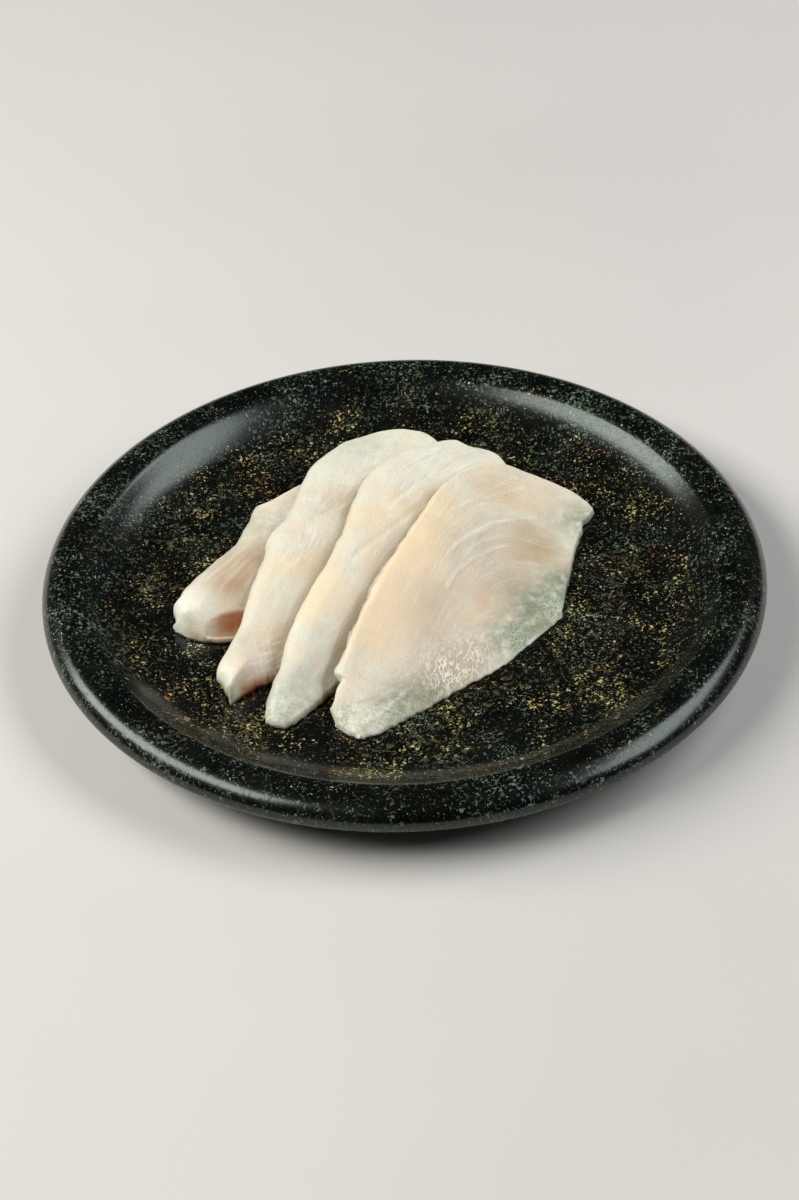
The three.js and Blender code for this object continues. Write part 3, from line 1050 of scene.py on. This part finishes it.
@dataclass
class FishSlice:
    """One slice: its outline from above, thicknesses and edges, in millimetres.

    left and right run from the front end to the back end, front and back from left to right.
    thick holds the thickness at the front left, the back left and the right side, curl how
    far the left edge curls up and curl_by over which width, and round_by how far in the left,
    right and back edges are rounded. front_slope holds the width of the sloping front edge at
    its left end and further right, and the shares of the slice's width between which it
    changes; front_knee is how softly it turns into the upper face.

    folds and swells raise the upper face. pale holds its white strands, valley_shade the stripes
    of painted shade beside the next slice, and peach to milky the spots of those tones, where
    the tan spots are partly painted shade on sides turned from the light and one milky spot is a
    painted glint; muscle and rust say how strong these are along the front edge. Fibres run up
    the slice, or round with its back edge where they are bent. The mesh has along by across
    cells, crowded towards the edges.
    """

    name: str
    node: str
    left: Points
    front: Points
    right: Points
    back: Points
    thick: tuple[float, float, float]
    curl: float
    curl_by: float
    round_by: tuple[float, float, float]
    front_slope: tuple[float, float, float, float]
    seed: int
    front_knee: float = 0.4
    gape: Gape | None = None
    nicks: tuple[Nick, ...] = ()
    folds: tuple[Fold, ...] = ()
    swells: tuple[Spot, ...] = ()
    pale: tuple[Fold, ...] = ()
    peach: tuple[Spot, ...] = ()
    cool: tuple[Spot, ...] = ()
    frost: tuple[Spot, ...] = ()
    fibrous: tuple[Spot, ...] = ()
    woolly: tuple[Spot, ...] = ()
    # Tan spots: tan flesh, and painted shade on sides turned from the light and beside the next
    # slice.
    tan: tuple[Spot, ...] = ()
    # Milky spots: whitish flesh, and one painted glint.
    milky: tuple[Spot, ...] = ()
    # Stripes of painted shade beside the next slice.
    valley_shade: tuple[Fold, ...] = ()
    muscle: float = 0.0
    rust: float = 0.0
    bent_fibres: bool = False
    surface: CutSurface = CutSurface()
    staining: Staining = Staining()
    along: int = 270
    across: int = 132
    crowding: float = 0.55

    def __post_init__(self) -> None:
        """Sets out the sides."""
        self.sides = {edge: Side(getattr(self, edge.value)) for edge in Edge}
        self.noise = PlaneNoise(self.seed)
        self.u = crowded(self.along, self.crowding)
        self.v = crowded(self.across, self.crowding)

    def plan(self, u: Array, v: Array) -> Array:
        """Spans the patch between the four sides.

        Args:
            u: Shares from the front end to the back end, one row each.
            v: Shares from the left side to the right side, one column each.

        Returns:
            x and y for each row and column.
        """
        left, right = (self.sides[key].at(u)[:, None] for key in (Edge.LEFT, Edge.RIGHT))
        front, back = (self.sides[key].at(v)[None] for key in (Edge.FRONT, Edge.BACK))
        share_u, share_v = u[:, None, None], v[None, :, None]
        corners = mixed(mixed(front[:, :1], front[:, -1:], share_v),
                        mixed(back[:, :1], back[:, -1:], share_v), share_u)
        return mixed(left, right, share_v) + mixed(front, back, share_u) - corners

    def depths(self) -> dict[Edge, Array]:
        """Measures the distances in from each side.

        Returns:
            The distances at each row and column.
        """
        u, v = self.u[:, None], self.v[None]
        length = mixed(self.sides[Edge.LEFT].length, self.sides[Edge.RIGHT].length, v)
        width = mixed(self.sides[Edge.FRONT].length, self.sides[Edge.BACK].length, u)
        return {Edge.LEFT: v * width, Edge.RIGHT: (1 - v) * width,
                Edge.FRONT: u * length, Edge.BACK: (1 - u) * length}

    def torn(self, plan: Array, depths: dict[Edge, Array]) -> Array:
        """Roughens the outline and bites the nicks out of it.

        Args:
            plan: x and y of the smooth outline's patch.
            depths: Distances in from each side.

        Returns:
            x and y with the border moved, and less and less so further in.
        """
        out, cut = plan.copy(), self.surface
        tearing = mixed(1, cut.calm, smoothstep(depths[Edge.FRONT], *cut.calming))
        for row, edge in enumerate(Edge):
            inwards = depths[edge]
            upright = edge in (Edge.LEFT, Edge.RIGHT)
            step = np.gradient(plan, axis=1 if upright else 0)
            if edge in (Edge.RIGHT, Edge.BACK):
                step = -step
            step = step / np.maximum(np.linalg.norm(step, axis=2, keepdims=True), 1e-9)
            run = (self.u[:, None] if upright else self.v[None]) * self.sides[edge].length
            run = np.broadcast_to(run, inwards.shape)
            line = np.full(inwards.shape, 7.0 * row)
            bite = tearing * cut.tear.at(self.noise, run, line)
            bite = bite + cut.wave.at(self.noise, run, line)
            bite = bite * np.exp(-inwards / cut.tear_reach)
            for nick in self.nicks:
                if nick.edge is edge:
                    dent = nick.depth * np.exp(-((run - nick.along) / nick.width) ** 2)
                    bite = bite + dent * np.exp(-inwards / (2 * nick.width))
            out = out + step * bite[..., None]
        return out

    def front_rise(self, depths: dict[Edge, Array]) -> Array:
        """Works out how far up the sloping front edge each place is.

        Args:
            depths: Distances in from each side.

        Returns:
            The share of the full height.
        """
        narrow, wide, start, end = self.front_slope
        width = mixed(narrow, wide, smoothstep(self.v, start, end))[None]
        return slope(depths[Edge.FRONT], width, knee=self.front_knee)

    def thickness(self, depths: dict[Edge, Array]) -> tuple[Array, Array]:
        """Works out the thickness.

        Args:
            depths: Distances in from each side.

        Returns:
            The thickness at each row and column, and how far it is in the gape.
        """
        front_left, back_left, right_side = self.thick
        left_round, right_round, back_round = self.round_by
        left_side = mixed(front_left, back_left, smoothstep(self.u, 0, 1))[:, None]
        full = mixed(left_side, right_side, smoothstep(self.v, 0.12, 1.05)[None])
        full = full * quarter_round(depths[Edge.LEFT], left_round)
        full = full * bevel(depths[Edge.RIGHT], right_round)
        full = full * bevel(depths[Edge.BACK], back_round) * self.front_rise(depths)
        if self.gape is None:
            return full, np.zeros_like(full)
        run = self.v[None] * self.sides[Edge.FRONT].length
        return self.gape.opened(full, run, depths[Edge.FRONT])

    def grain(self, depths: dict[Edge, Array]) -> Array:
        """Lays the muscle fibres: up the slice or, where they bend, round with its back edge.

        Args:
            depths: Distances in from each side.

        Returns:
            For each place, millimetres across and along the fibres, and 0.
        """
        left, back = depths[Edge.LEFT] + 2.0, 0.9 * depths[Edge.BACK] + 2.0
        across = (left ** -3 + back ** -3) ** (-1 / 3) if self.bent_fibres else left
        along = depths[Edge.FRONT] + depths[Edge.LEFT]
        return np.stack([across, along, np.zeros_like(across)], -1)

    def relief(self, x: Array, y: Array, grain: Array, depths: dict[Edge, Array]) -> Array:
        """Heights of the swellings, fibres, folds and woolly areas on the upper face.

        Args:
            x: Places from above.
            y: Places from above.
            grain: Millimetres across and along the fibres.
            depths: Distances in from each side.

        Returns:
            The height at each row and column.
        """
        noise, cut = self.noise, self.surface
        fibres_across, fibres_along = grain[..., 0], grain[..., 1]
        swell = cut.swell.at(noise, x, y) + cut.ripple.at(noise, x, y)
        ribs = cut.rib.at(noise, fibres_across, fibres_along)
        ribs = ribs * (cut.plain_ribs + spotted(self.fibrous, x, y))
        bundles = cut.bundle.at(noise, fibres_across, fibres_along)
        bend = cut.bend.at(noise, x, y)
        curls = 0.5 - np.abs(cut.curl.at(noise, x + bend, y - bend))
        curls = cut.curl_height * curls * spotted(self.woolly, x, y)
        crumbs = cut.crumb.at(noise, x, y) * spotted(self.frost, x, y)
        folds = folded(self.folds, x, y) + cut.strand_height * folded(self.pale, x, y)
        bulges = sum((spot.at(x, y) for spot in self.swells), np.zeros(np.shape(x)))
        inner = smoothstep(np.minimum.reduce(list(depths.values())), *cut.rim)
        return inner * (swell + ribs + bundles + folds + bulges + curls + crumbs)

    def tones(self, x: Array, y: Array, thick: Array, hollow: Array,
              depths: dict[Edge, Array]) -> dict[Tone, Array]:
        """Works out where the flesh is stained.

        Args:
            x: Places from above.
            y: Places from above.
            thick: Thickness.
            hollow: How far each place is in the gape.
            depths: Distances in from each side.

        Returns:
            The field of each tone, from 0 to 1.
        """
        by, from_left, from_front = self.staining, self.v[None], depths[Edge.FRONT]
        thin = 1 - smoothstep(thick, *by.thin)
        sloping = 1 - smoothstep(self.front_rise(depths), *by.facet)
        sloping = sloping * smoothstep(from_left, 0.02, 0.10)
        border = np.exp(-from_front / by.rust_reach) * smoothstep(from_left, 0.04, 0.08)
        # The pale painted highlight along the right, back and front edges, where a cut edge
        # catches light.
        rim = np.minimum(depths[Edge.RIGHT], depths[Edge.BACK])
        rim = np.minimum(rim, from_front + 9 * self.rust)
        painted_rim_highlight = by.rim_highlight_share * np.exp(-(rim / by.rim) ** 2)
        tones = {
            Tone.COOL: by.thin_cool * thin + spotted(self.cool, x, y),
            Tone.PEACH: spotted(self.peach, x, y),
            Tone.MUSCLE: self.muscle * sloping,
            # Tan: painted shade in the stripes beside the next slice, tan spots that are partly
            # painted shade, and tan inside the gape.
            Tone.TAN: folded(self.valley_shade, x, y) + spotted(self.tan, x, y) + by.gape_tan * hollow,
            # Milky: whitish flesh, with a painted glint in one spot.
            Tone.MILKY_AND_GLINT: spotted(self.milky, x, y),
            # Frost: pale strands and torn flesh, and the painted highlight along the rim.
            Tone.FROST_AND_GLINT: folded(self.pale, x, y) + spotted(self.frost, x, y) + painted_rim_highlight,
            Tone.FIBROUS: by.plain_fibres + spotted(self.fibrous, x, y),
            Tone.WOOLLY: spotted(self.woolly, x, y),
            Tone.RUST: self.rust * border + by.gape_rust * hollow,
        }
        return {tone: np.clip(values, 0, 1) for tone, values in tones.items()}

    def facet(self, depths: dict[Edge, Array]) -> Array:
        """Lays the streaks of the sloping front edge.

        Args:
            depths: Distances in from each side.

        Returns:
            For each place, millimetres across and along the streaks, and 0.
        """
        run = self.v[None] * self.sides[Edge.FRONT].length
        across = depths[Edge.FRONT] - 0.2 * run
        return np.stack(np.broadcast_arrays(across, run, 0.0), -1)

    def settle(self, laid: Array, laying: Laying) -> tuple[Array, Array]:
        """Lays the slice on what is there.

        Args:
            laid: Heights of what it lies on.
            laying: How it settles.

        Returns:
            The heights of its underside and, softened, of what carries its upper face.
        """
        spread = self.plan(np.linspace(0, 1, 300), np.linspace(0, 1, 160)).reshape(-1, 2)
        empty = np.zeros((laying.side, laying.side))
        marked = laying.raised(empty, np.c_[spread, np.ones(len(spread))])
        covered = laying.widened(marked) > 0
        support = laying.widened(laying.widened(laid)) + laying.gap
        start = np.full_like(empty, support[covered].max())
        under = laying.relaxed(start, covered, laying.steps, laying.load, support)
        over = laying.relaxed(under, covered, laying.softening, 0.0, empty)
        return under, over

    def build(self, laid: Array, laying: Laying, material: bpy.types.Material) -> Array:
        """Builds the slice and lays it.

        Args:
            laid: Heights of what it lies on.
            laying: How it settles.
            material: Its flesh.

        Returns:
            The heights with this slice on top.
        """
        depths = self.depths()
        plan = self.torn(self.plan(self.u, self.v), depths)
        x, y = plan[..., 0], plan[..., 1]
        under, over = self.settle(laid, laying)
        thick, hollow = self.thickness(depths)
        outer = 1 - bevel(depths[Edge.LEFT], self.curl_by)
        lift = self.curl * outer * self.front_rise(depths)
        low = laying.read(under, x, y) + lift
        high = np.maximum(laying.read(over, x, y) + lift + thick, low)
        grain = self.grain(depths)
        high = np.maximum(high + self.relief(x, y, grain, depths), low)
        top = np.stack([x, y, high], -1)
        laid = laying.raised(laid, top.reshape(-1, 3))
        bottom = np.stack([x, y, low], -1)
        fields = {"grain": grain, "facet": self.facet(depths)}
        for tone, values in self.tones(x, y, thick, hollow, depths).items():
            fields[tone.value] = values
        piece = self.shell(top, bottom, fields, material)
        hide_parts(self.node)
        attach(piece, BODY)
        LOG.info("%s: highest point %.1f mm", self.name, high.max())
        return laid

    def shell(self, top: Array, bottom: Array, fields: dict[str, Array],
              material: bpy.types.Material) -> bpy.types.Object:
        """Closes an upper and a lower face that share their border.

        Args:
            top: Points of the upper face.
            bottom: Points of the lower face.
            fields: Values at each row and column.
            material: Its flesh.

        Returns:
            The slice's object.
        """
        rows, columns = top.shape[:2]
        upper = np.arange(rows * columns).reshape(rows, columns)
        inside = (rows - 2) * (columns - 2)
        lower = upper.copy()
        lower[1:-1, 1:-1] = rows * columns + np.arange(inside).reshape(rows - 2, columns - 2)
        points = np.vstack([top.reshape(-1, 3), bottom[1:-1, 1:-1].reshape(-1, 3)])
        faces = np.vstack([self.quads(upper), self.quads(lower)[:, ::-1]])
        both = {}
        for key, values in fields.items():
            flat = values.reshape(rows * columns, -1)
            core = values[1:-1, 1:-1].reshape(inside, -1)
            both[key] = np.vstack([flat, core])
        return mesh_piece(self.name, points, faces, material, both)

    @staticmethod
    def quads(numbers: Array) -> Array:
        """The four-cornered faces of a grid of vertex numbers."""
        return np.stack([numbers[:-1, :-1], numbers[:-1, 1:], numbers[1:, 1:],
                         numbers[1:, :-1]], -1).reshape(-1, 4)


@dataclass
class FishServing:
    """The four slices, in the order in which they are laid."""

    laying: Laying = field(default_factory=Laying)
    finish: RawWhiteFish = field(default_factory=RawWhiteFish)

    def slices(self) -> list[FishSlice]:
        """Sets out the slices from left to right."""
        return [
            FishSlice(
                name="folded_slice", node="slice_1", seed=11,
                left=((-46.5, -13), (-47.5, -6.5), (-44.5, -0.5), (-40, 6), (-35.5, 12.5),
                      (-31, 26)),
                front=((-46.5, -13), (-43.5, -15), (-37, -16.5), (-18, -13), (-10, -4)),
                right=((-10, -4), (-5, 10), (-2, 22), (-3, 33)),
                back=((-31, 26), (-27.5, 27.5), (-20, 34), (-12, 36), (-3, 33)),
                thick=(6.5, 3, 1.4), curl=1.3, curl_by=6, round_by=(6, 1.5, 1.2),
                front_slope=(1.5, 7, 0, 0.3), gape=Gape(),
                nicks=(Nick(Edge.LEFT, 0.6, -1.3, 0.6), Nick(Edge.LEFT, 8, 0.6, 1.2)),
                folds=(Fold(((-41.8, -13.5), (-41, -9), (-38.5, -3)), 0.35, 1.6),),
                milky=(Spot(-47.5, -9.5, 5.5, 1),),
                frost=(Spot(-46.5, -9, 4.5, 0.7),),
                tan=(Spot(-33.5, 4, 7, 0.6), Spot(-36.5, -5, 5.5, 0.65),
                     Spot(-34, -15.5, 3, 0.4)),
                cool=(Spot(-28, 18, 7, 0.4),),
                # Painted shade in a stripe beside the second slice.
                valley_shade=(Fold(((-34.5, -12), (-32, -6), (-29, 2), (-28, 10)), 0.2, 4.5),),
                rust=0.3),
            FishSlice(
                name="pointed_slice", node="slice_2", seed=22,
                left=((-35.5, -35.5), (-37, -32), (-38.5, -28.5), (-37, -24.5), (-34, -17.5),
                      (-32, -10.5), (-29, 1), (-28, 8.5), (-24.5, 15.5), (-19.5, 34),
                      (-13, 45)),
                front=((-35.5, -35.5), (-31.5, -32), (-28, -30), (-12, -22), (3, -8)),
                right=((3, -8), (9, 8), (14, 22), (15, 34)),
                back=((-13, 45), (-6.5, 48.5), (-2, 50.5), (3.5, 51), (9, 47.5), (15, 34)),
                thick=(5.8, 3.6, 1.2), curl=1.3, curl_by=6, round_by=(6, 1.5, 1.4),
                front_slope=(1.2, 7, 0, 0.3), front_knee=0.3,
                folds=(Fold(((-35.3, -35), (-34, -33.3), (-31, -28.5)), 0.2, 1),
                       Fold(((-11.8, 26.2), (-4.7, 35.3)), -0.25, 0.7),
                       Fold(((-18.2, 13.3), (-11.3, 20.4)), -0.3, 0.9),
                       Fold(((-27.3, -12), (-21.2, -1.7)), 0.15, 0.7)),
                pale=(Fold(((-7.4, 38), (-1.5, 42.8)), 0.8, 0.5),
                      Fold(((-24.8, -2.2), (-17.4, 7.3)), 0.5, 0.5)),
                cool=(Spot(-35.8, -35.5, 2, 0.9), Spot(-35, -23, 5, 0.2),
                      Spot(-7, 45, 8, 0.25)),
                peach=(Spot(-22, -3, 5, 0.5),),
                # Milky spots; the small one in the middle is a painted glint.
                milky=(Spot(-37, -29, 4, 0.4), Spot(-19.2, 8.3, 1, 0.8),
                       Spot(-8, 40, 9, 0.6)),
                fibrous=(Spot(-26, -26, 5, 0.6), Spot(-18, 4, 7, 0.5),
                         Spot(-12, 20, 8, 0.6), Spot(-4, 36, 9, 0.8)),
                # Painted shade in the valley where the third slice's edge overhangs.
                tan=(Spot(-11.5, 20, 5, 0.4),),
                # Painted shade in stripes beside the third slice.
                valley_shade=(Fold(((-24, -24.5), (-17, -8), (-14.5, -1)), 0.45, 5.5),
                        Fold(((-12.5, 5.5), (-9, 20.5)), 0.2, 5)),
                muscle=0.2, rust=1),
            FishSlice(
                name="finger_slice", node="slice_3", seed=33,
                left=((-28.5, -41.5), (-28.5, -37.5), (-25, -28.5), (-24, -24.5),
                      (-21, -16.5), (-17, -8), (-12.5, 5.5), (-9, 20.5), (-5.5, 29),
                      (0.5, 36), (8.5, 40.5)),
                front=((-28.5, -41.5), (-24.5, -43), (-18, -37), (-15, -33.5), (0, -18),
                       (17, -6)),
                right=((17, -6), (23, 6), (27, 16), (28, 24)),
                back=((8.5, 40.5), (13.5, 42), (16.5, 40.5), (23, 39), (28, 24)),
                thick=(5.8, 3.8, 1.2), curl=1.5, curl_by=6, round_by=(6, 1.5, 1.4),
                front_slope=(10, 14, 0, 0.25),
                folds=(Fold(((-10.8, -5.4), (-3.4, 5.3), (4.6, 17)), -0.25, 0.7),
                       Fold(((-2, 15.7), (6.1, 27.1)), -0.2, 0.5)),
                pale=(Fold(((-2.1, 12.8), (2.1, 19.5), (9.4, 38.4)), 0.8, 0.5),
                      Fold(((1.4, 28.8), (8.3, 37.9)), 0.8, 0.5)),
                peach=(Spot(-16.2, -13, 5, 0.7), Spot(-19, -19, 3.5, 0.6),
                       Spot(-8, 8, 6, 0.4), Spot(0, 17, 6, 0.5),
                       Spot(7, 30, 7, 0.5)),
                cool=(Spot(-25, -38, 7, 0.45),),
                milky=(Spot(-25, -33, 6, 0.5), Spot(8, 34, 9, 0.7),
                       Spot(1, 24, 6, 0.5)),
                frost=(Spot(-26, -41, 4, 0.5), Spot(-22, -37, 4, 0.35)),
                # Painted shade on the right of the finger's tip, turned from the light beside
                # the fourth slice.
                tan=(Spot(-19, -38, 3, 0.4), Spot(-15, -33, 3, 0.5)),
                fibrous=(Spot(-5, 4, 6, 0.5), Spot(4, 22, 7, 0.8),
                         Spot(11, 33, 7, 0.9)),
                # Painted shade in stripes beside the fourth slice.
                valley_shade=(Fold(((-12, -26), (-8.5, -19), (1, 2.5), (8.5, 20)), 0.4, 4),
                        Fold(((8.5, 20), (15.5, 28)), 0.3, 3.5)),
                muscle=0.1, rust=0.1),
            FishSlice(
                name="broad_slice", node="slice_4", seed=44,
                left=((-14.5, -44), (-15.5, -40.5), (-14.5, -37), (-13.5, -35),
                      (-14.5, -33.5), (-13, -30), (-8.5, -19), (1, 2.5), (8.5, 20),
                      (15.5, 28)),
                front=((-14.5, -44), (-10, -47), (-3, -44), (9, -35), (18, -28.5),
                       (27, -19), (32, -13.5)),
                right=((32, -13.5), (33, -8), (37, 10), (41.5, 20.5)),
                back=((15.5, 28), (22.5, 31), (28, 30), (33.5, 28.5), (39, 25),
                      (41.5, 20.5)),
                thick=(3.8, 3.4, 1.3), curl=1.6, curl_by=3.5, round_by=(3.5, 0.5, 0.6),
                front_slope=(6, 11, 0, 0.4),
                nicks=(Nick(Edge.RIGHT, 30, 1, 1.4), Nick(Edge.FRONT, 5.6, -1, 0.8)),
                folds=(Fold(((-10.4, -46), (-4.9, -41.4), (0.3, -35.5)), 0.3, 1.2),
                       Fold(((9.8, -9.5), (17.5, 1)), -0.12, 0.4),
                       Fold(((11.5, 2), (16.5, 9), (22.5, 14.5)), -0.12, 0.5)),
                swells=(Spot(10, -5, 14, 2.2),),
                pale=(Fold(((8.7, -11.7), (10.8, -7.8), (13.7, -3.7), (18.4, 1.7)), 1, 0.35),
                      Fold(((9.4, -3.3), (13.7, 3.6), (19, 10.4)), 0.8, 0.35),
                      Fold(((15.2, 4.4), (19.4, 10.1), (22.9, 13.1), (28.7, 15.7)), 0.8, 0.35),
                      Fold(((11.5, 12), (16.4, 17.4), (21.7, 21.1), (27.1, 25.2)), 0.7, 0.35),
                      Fold(((13.5, 14.7), (20.1, 22.3), (25.5, 27.4)), 0.5, 0.3),
                      Fold(((-9, -45.5), (-4.9, -41.4), (0.3, -35.5)), 0.5, 0.35)),
                peach=(Spot(-6.2, -25, 6, 0.9), Spot(-3, -16.5, 6, 0.9),
                       Spot(1, -6, 6, 1), Spot(5, 4, 6, 1),
                       Spot(9.5, 13.5, 6, 0.8), Spot(24, 22, 7, 0.6),
                       Spot(12, -12, 10, 0.4), Spot(25, 4, 6, 0.5)),
                # Painted shade on parts that slope away from the light, mostly on the right and
                # at the front.
                tan=(Spot(26.5, 2.6, 5, 0.35), Spot(25.6, 11.2, 3.5, 0.4),
                     Spot(22, 24, 6, 0.25), Spot(30.6, 7.6, 4, 0.35), Spot(6, -14, 3.5, 0.1),
                     Spot(16, -12, 6, 0.25), Spot(22.6, -7.6, 5, 0.35), Spot(8, -20, 7, 0.3),
                     Spot(4.5, -38, 5, 0.85), Spot(13, -31, 4, 0.3)),
                cool=(Spot(28.5, -12, 6.5, 1), Spot(33, -3.9, 4, 0.8),
                      Spot(21.3, -21, 5, 0.8), Spot(5, -37, 5, 1),
                      Spot(-2, -40, 5, 0.8), Spot(38.5, 17, 5, 0.6),
                      Spot(-13, -43, 3, 0.4)),
                milky=(Spot(40, 20, 6, 0.35), Spot(35, 9, 3.5, 0.4)),
                frost=(Spot(-12, -43, 4, 0.7), Spot(31, -11, 4, 0.7),
                       Spot(-6, -44, 5, 0.5), Spot(3, -38, 5, 0.1),
                       Spot(22, -21, 5, 0.5)),
                fibrous=(Spot(14, 2, 7, 0.8), Spot(20, 14, 8, 0.6)),
                woolly=(Spot(7.6, -30.5, 5.5, 0.8), Spot(14, -25, 4.5, 0.5)),
                # A broad, faint stripe of painted shade over the slice's middle, where it slopes
                # away from the light.
                valley_shade=(Fold(((3, -32), (14, -10), (26, 8)), 0.15, 12),),
                muscle=0.15, bent_fibres=True),
        ]

    def build(self, floor_height: float) -> None:
        """Lays the slices one after another.

        Args:
            floor_height: Height of the dish floor in millimetres.
        """
        material = self.finish.build()
        laid = np.full((self.laying.side, self.laying.side), floor_height)
        for fish_slice in self.slices():
            laid = fish_slice.build(laid, self.laying, material)


# ------------------------------------------------------------------ the studio


@dataclass
class Softbox:
    """A soft light that faces the plate: metres, watts, and degrees from +X, up and rolled."""

    name: str
    azimuth: float
    elevation: float
    roll: float
    distance: float
    size: tuple[float, float]
    watts: float
    tint: str

    def build(self) -> None:
        """Hangs the light and turns it to the plate."""
        lamp = bpy.data.lights.new(self.name, "AREA")
        lamp.shape = "RECTANGLE"
        lamp.size, lamp.size_y = self.size
        lamp.energy = self.watts
        lamp.color = linear(self.tint)[:3]
        light = bpy.data.objects.new(self.name, lamp)
        turn, rise = math.radians(self.azimuth), math.radians(self.elevation)
        direction = Vector((math.cos(rise) * math.cos(turn), math.cos(rise) * math.sin(turn),
                            math.sin(rise)))
        facing = direction.to_track_quat("Z", "Y").to_matrix()
        facing = facing @ Matrix.Rotation(math.radians(self.roll), 3, "Z")
        light.matrix_world = Matrix.Translation(direction * self.distance) @ facing.to_4x4()
        bpy.context.scene.collection.objects.link(light)


@dataclass
class Studio:
    """A pale board, two softboxes, a dim room and the camera, in metres and degrees."""

    board_size: float = 6.0
    room: str = "#3c3d40"
    room_strength: float = 0.35
    lens_mm: float = 85.0
    sensor_mm: float = 36.0
    elevation: float = 39.895
    roll: float = -2.59
    distance: float = 0.5765
    aim: tuple[float, float, float] = (-0.00108, -0.01274, 0.014)

    def lights(self) -> list[Softbox]:
        """The two softboxes."""
        return [
            Softbox("key_softbox", azimuth=182.0, elevation=43.0, roll=25.0, distance=0.9,
                    size=(1.0, 0.36), watts=10.1, tint="#fffdf8"),
            Softbox("fill_softbox", azimuth=3.0, elevation=46.0, roll=20.0, distance=0.9,
                    size=(0.85, 0.4), watts=5.7, tint="#f9f9fd"),
        ]

    def board(self) -> None:
        """Lays the board that the plate stands on."""
        half = self.board_size / 2 / MM
        corners = np.array([[-half, -half, 0], [half, -half, 0], [half, half, 0],
                            [-half, half, 0]])
        board = mesh_piece("table_board", corners, [[0, 1, 2, 3]], PaleTable().build())

    def camera(self) -> None:
        """Sets the camera on its stand."""
        tilt, roll = math.radians(self.elevation), math.radians(self.roll)
        forward = Vector((0, math.cos(tilt), -math.sin(tilt)))
        right = Vector((1, 0, 0))
        up = right.cross(forward)
        turned_right = right * math.cos(roll) + up * math.sin(roll)
        turned_up = up * math.cos(roll) - right * math.sin(roll)
        optics = bpy.data.cameras.new("camera")
        optics.lens = self.lens_mm
        optics.sensor_width = self.sensor_mm
        optics.clip_start = 0.01
        camera = bpy.data.objects.new("camera", optics)
        turn = Matrix((turned_right, turned_up, -forward)).transposed()
        camera.matrix_world = turn.to_4x4()
        camera.location = Vector(self.aim) - forward * self.distance
        bpy.context.scene.collection.objects.link(camera)
        bpy.context.scene.camera = camera

    def build(self) -> None:
        """Sets up the room."""
        scene = bpy.context.scene
        scene.view_settings.view_transform = "Standard"
        world = bpy.data.worlds.new("dim_room")
        world.use_nodes = True
        background = world.node_tree.nodes["Background"]
        background.inputs["Color"].default_value = linear(self.room)
        background.inputs["Strength"].default_value = self.room_strength
        scene.world = world
        self.board()
        for light in self.lights():
            light.build()
        self.camera()
        LOG.info("studio: %d softboxes", len(self.lights()))


def main() -> None:
    """Builds the plate, the serving and the studio, in that order."""
    logging.basicConfig(level=logging.INFO, format="%(name)s: %(message)s")
    plate = StonePlate()
    plate.build()
    FishServing().build(plate.floor_height)
    Studio().build()


if __name__ == "__main__":
    main()
